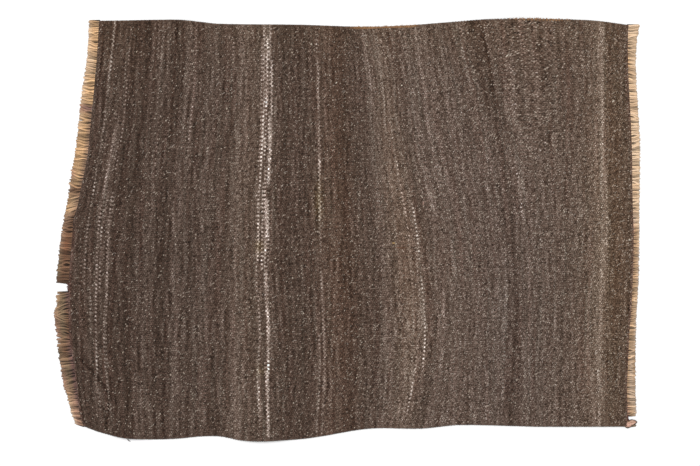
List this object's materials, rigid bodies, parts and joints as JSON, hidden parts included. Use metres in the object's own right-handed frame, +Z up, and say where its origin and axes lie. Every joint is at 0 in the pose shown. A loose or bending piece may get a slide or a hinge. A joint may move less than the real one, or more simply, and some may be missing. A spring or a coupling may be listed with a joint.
{
  "type": "kilim rug",
  "caption": "Flat-woven dark brown wool rug with narrow uneven stripes, plain selvages and a short cut warp fringe at both ends, lying flat on the floor.",
  "frame": {"origin": "on the floor, under the middle of the rug's outline", "axes": "+X along the warps to the right-hand fringe, +Y across the rug to the far selvage, +Z up"},
  "size_m": [1.2304, 0.8884, 0.009],
  "materials": {
    "wool_field": "matt undyed wool, weft-faced plain weave",
    "warp_ends": "matt plied warp yarn, cut ends"
  },
  "bodies": {
    "root": {"woven_field": "wool_field", "fringe_left": "warp_ends", "fringe_right": "warp_ends"}
  },
  "joints": []
}
